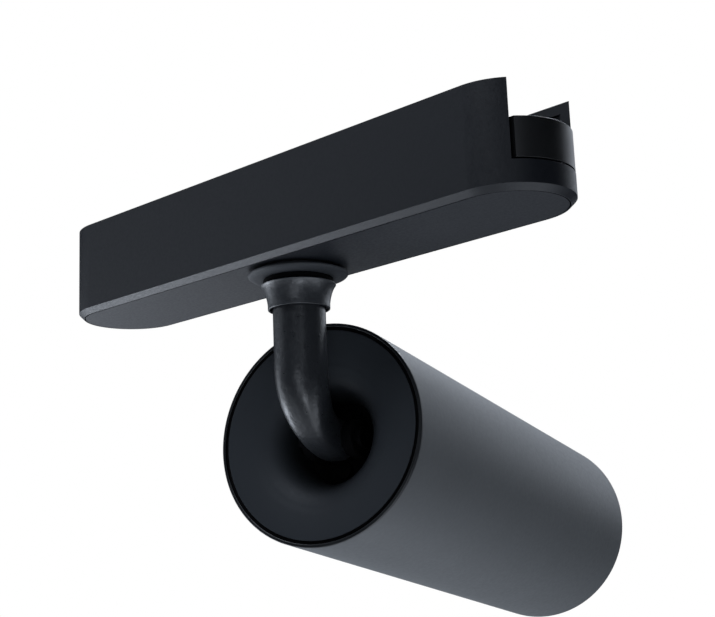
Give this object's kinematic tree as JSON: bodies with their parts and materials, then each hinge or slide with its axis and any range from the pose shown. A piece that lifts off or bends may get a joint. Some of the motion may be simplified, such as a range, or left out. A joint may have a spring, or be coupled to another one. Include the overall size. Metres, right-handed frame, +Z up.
{
  "type": "track spotlight",
  "caption": "Cylindrical spotlight head on a bent swivel arm under a long round-ended gear box that wraps a lighting track and locks to it with a sliding end latch.",
  "frame": {"origin": "middle of the flat seat on the adapter deck that bears on the underside of the track, above the pan axis", "axes": "+Z up, out of the seat towards the track; +X along the track towards the end with the latch; +Y across the track, to the side the head points to"},
  "size_m": [0.278, 0.2892, 0.1851],
  "materials": {
    "gear_box_paint": "satin blue-black powder coat",
    "head_paint": "fine textured dark grey powder coat",
    "arm_paint": "satin black powder coat",
    "black_plastic": "matt moulded",
    "white_plastic": "satin moulded",
    "steel": "zinc plated",
    "black_steel": "black oxide",
    "brass": "rolled strip",
    "aluminium": "natural",
    "board": "solder resist",
    "rubber": "soft matt",
    "glass": "clear",
    "phosphor": "silicone over phosphor",
    "reflector": "bright anodised"
  },
  "bodies": {
    "gear_box": {"housing_shell": "gear_box_paint", "bottom_cover": "gear_box_paint", "adapter_deck": "black_plastic", "deck_screw_1": "steel", "deck_screw_2": "steel", "deck_screw_3": "steel", "deck_screw_4": "steel", "earth_contact": "brass", "driver_case": "white_plastic", "driver_lid": "white_plastic", "driver_board": "board", "driver_transformer": "black_plastic", "driver_capacitor_1": "black_plastic", "driver_capacitor_2": "black_plastic", "terminal_block": "white_plastic", "swivel_flange": "gear_box_paint", "flange_nut": "steel", "pan_stop_pin": "steel"},
    "latch": {"cam_plate": "steel", "latch_block": "black_plastic", "latch_pin": "steel", "latch_spring": "steel"},
    "jaw_near": {"jaw_near": "black_plastic", "contact_near": "brass"},
    "jaw_far": {"jaw_far": "black_plastic", "contact_far": "brass"},
    "swivel": {"pan_spindle": "steel", "pan_friction_washer": "steel", "pan_nut": "steel", "pan_stop_washer": "steel", "swivel_bearing_ring": "black_plastic", "swivel_collar": "gear_box_paint", "arm": "arm_paint"},
    "head": {"body_tube": "head_paint", "rear_cap": "black_plastic", "rear_seal": "rubber", "heat_sink": "aluminium", "tilt_yoke": "gear_box_paint", "tilt_washer_left": "black_plastic", "tilt_washer_right": "black_plastic", "tilt_axle": "black_steel", "tilt_nut": "black_steel", "yoke_screw_1": "black_steel", "yoke_screw_2": "black_steel", "led_board": "aluminium", "led_emitter": "phosphor", "led_holder": "white_plastic", "led_screw_1": "steel", "led_screw_2": "steel", "reflector": "reflector", "glass_seat": "black_plastic", "front_glass": "glass", "glass_gasket": "rubber", "louvre": "black_plastic", "front_ring": "gear_box_paint"}
  },
  "joints": [
    {"name": "latch_slide", "type": "slide", "parent": "gear_box", "child": "latch", "axis": [1, 0, 0], "range_m": [0, 0.006], "stiffness_N_per_m": 1500, "springref_m": -0.002, "deforming": ["latch_spring"]},
    {"name": "jaw_near_slide", "type": "slide", "parent": "gear_box", "child": "jaw_near", "axis": [0, -1, 0], "range_m": [0, 0.0014]},
    {"name": "jaw_far_slide", "type": "slide", "parent": "gear_box", "child": "jaw_far", "axis": [0, 1, 0], "range_m": [0, 0.0014]},
    {"name": "pan", "type": "hinge", "parent": "gear_box", "child": "swivel", "pos_m": [0, 0, -0.0305], "axis": [0, 0, 1], "range_deg": [-165, 165]},
    {"name": "tilt", "type": "hinge", "parent": "swivel", "child": "head", "pos_m": [-0.00751, 0.026, -0.09956], "axis": [-0.9607, -0.2776, 0], "range_deg": [-6, 60]}
  ],
  "couplings": [
    {"joint": "jaw_near_slide", "follows": "latch_slide", "ratio": 0.23333},
    {"joint": "jaw_far_slide", "follows": "latch_slide", "ratio": 0.23333}
  ]
}
